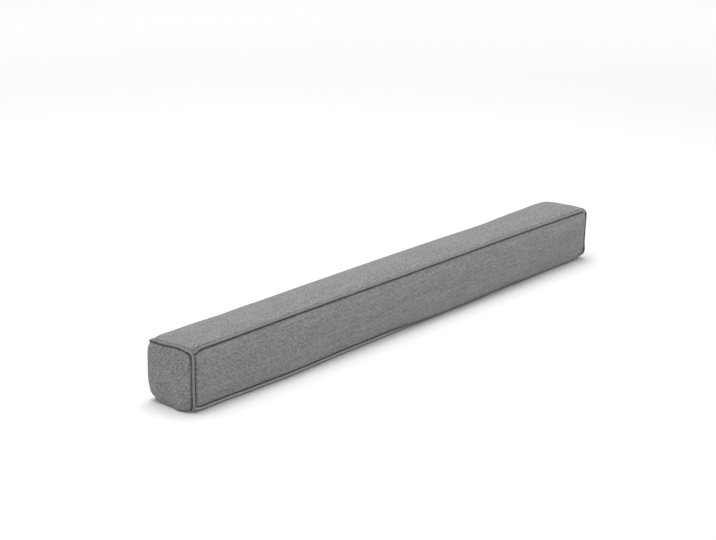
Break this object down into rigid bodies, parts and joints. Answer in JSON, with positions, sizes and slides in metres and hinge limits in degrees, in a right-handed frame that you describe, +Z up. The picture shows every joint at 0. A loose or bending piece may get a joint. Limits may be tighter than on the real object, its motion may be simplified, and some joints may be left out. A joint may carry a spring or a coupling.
{
  "type": "draught excluder",
  "caption": "Long box-section draught excluder: a filled cushion in woven cloth with crowned panels, soft corners and piping in every seam.",
  "frame": {"origin": "middle of the flat underside, on the surface it lies on", "axes": "+X along the length towards the right end as seen from the front, +Y from the front to the back, +Z up"},
  "size_m": [0.9096, 0.0915, 0.0871],
  "materials": {
    "cushion_cloth": "matt mid grey woven cloth, slightly heathered",
    "piping_cloth": "the same grey cloth, cut on the bias and wrapped over a cord"
  },
  "bodies": {
    "root": {"cushion": "cushion_cloth", "piping_left_end": "piping_cloth", "piping_right_end": "piping_cloth", "piping_top_front": "piping_cloth", "piping_top_back": "piping_cloth", "piping_bottom_front": "piping_cloth", "piping_bottom_back": "piping_cloth"}
  },
  "joints": []
}
